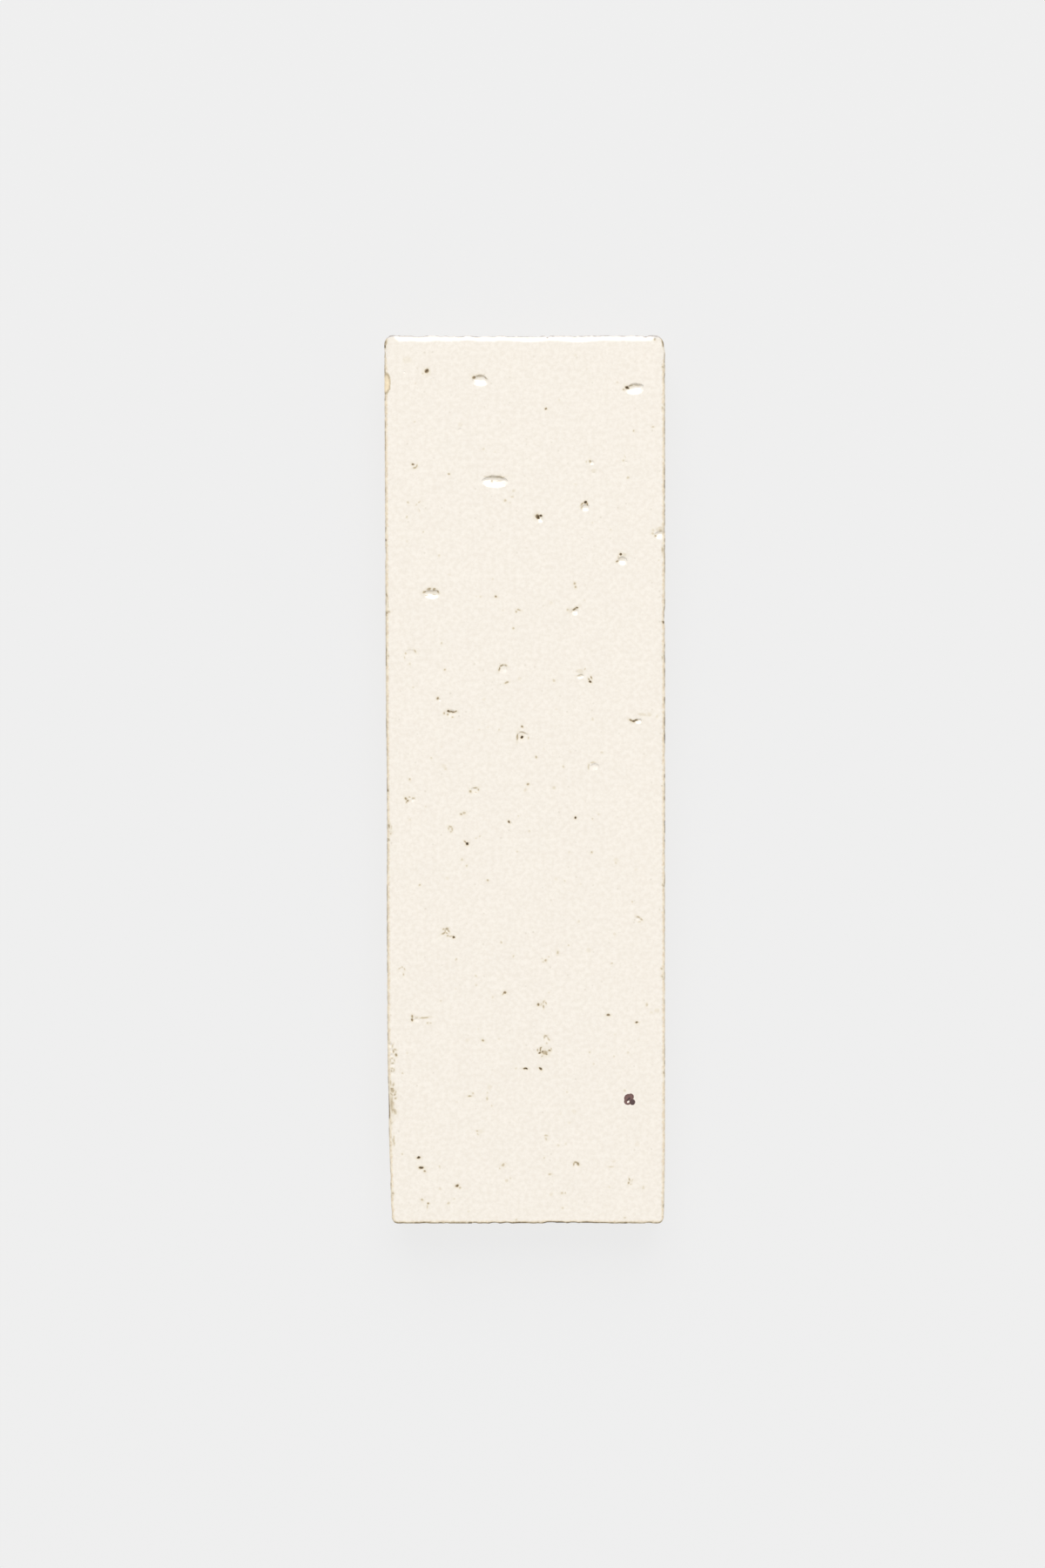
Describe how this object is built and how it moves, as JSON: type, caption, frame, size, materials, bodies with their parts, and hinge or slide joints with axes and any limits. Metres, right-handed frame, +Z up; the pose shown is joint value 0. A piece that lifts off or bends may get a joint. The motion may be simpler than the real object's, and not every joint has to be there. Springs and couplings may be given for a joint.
{
  "type": "thin brick tile",
  "caption": "Flat rectangular thin brick tile with a pitted cream glazed face, a glaze roll round the face's edge and a plain back that is bonded to a wall.",
  "frame": {"origin": "middle of the bonding back, which is the bottom of the tile as it lies", "axes": "+Z up, out of the glazed face; +Y along the tile's length, towards the end that is uppermost in the picture; +X to the right across the face"},
  "size_m": [0.0604, 0.1906, 0.0127],
  "materials": {
    "glazed_brick": "glossy cream glaze with pits and pinholes on the face, bare buff fired clay on the edges and back"
  },
  "bodies": {
    "root": {"thin_brick": "glazed_brick"}
  },
  "joints": []
}
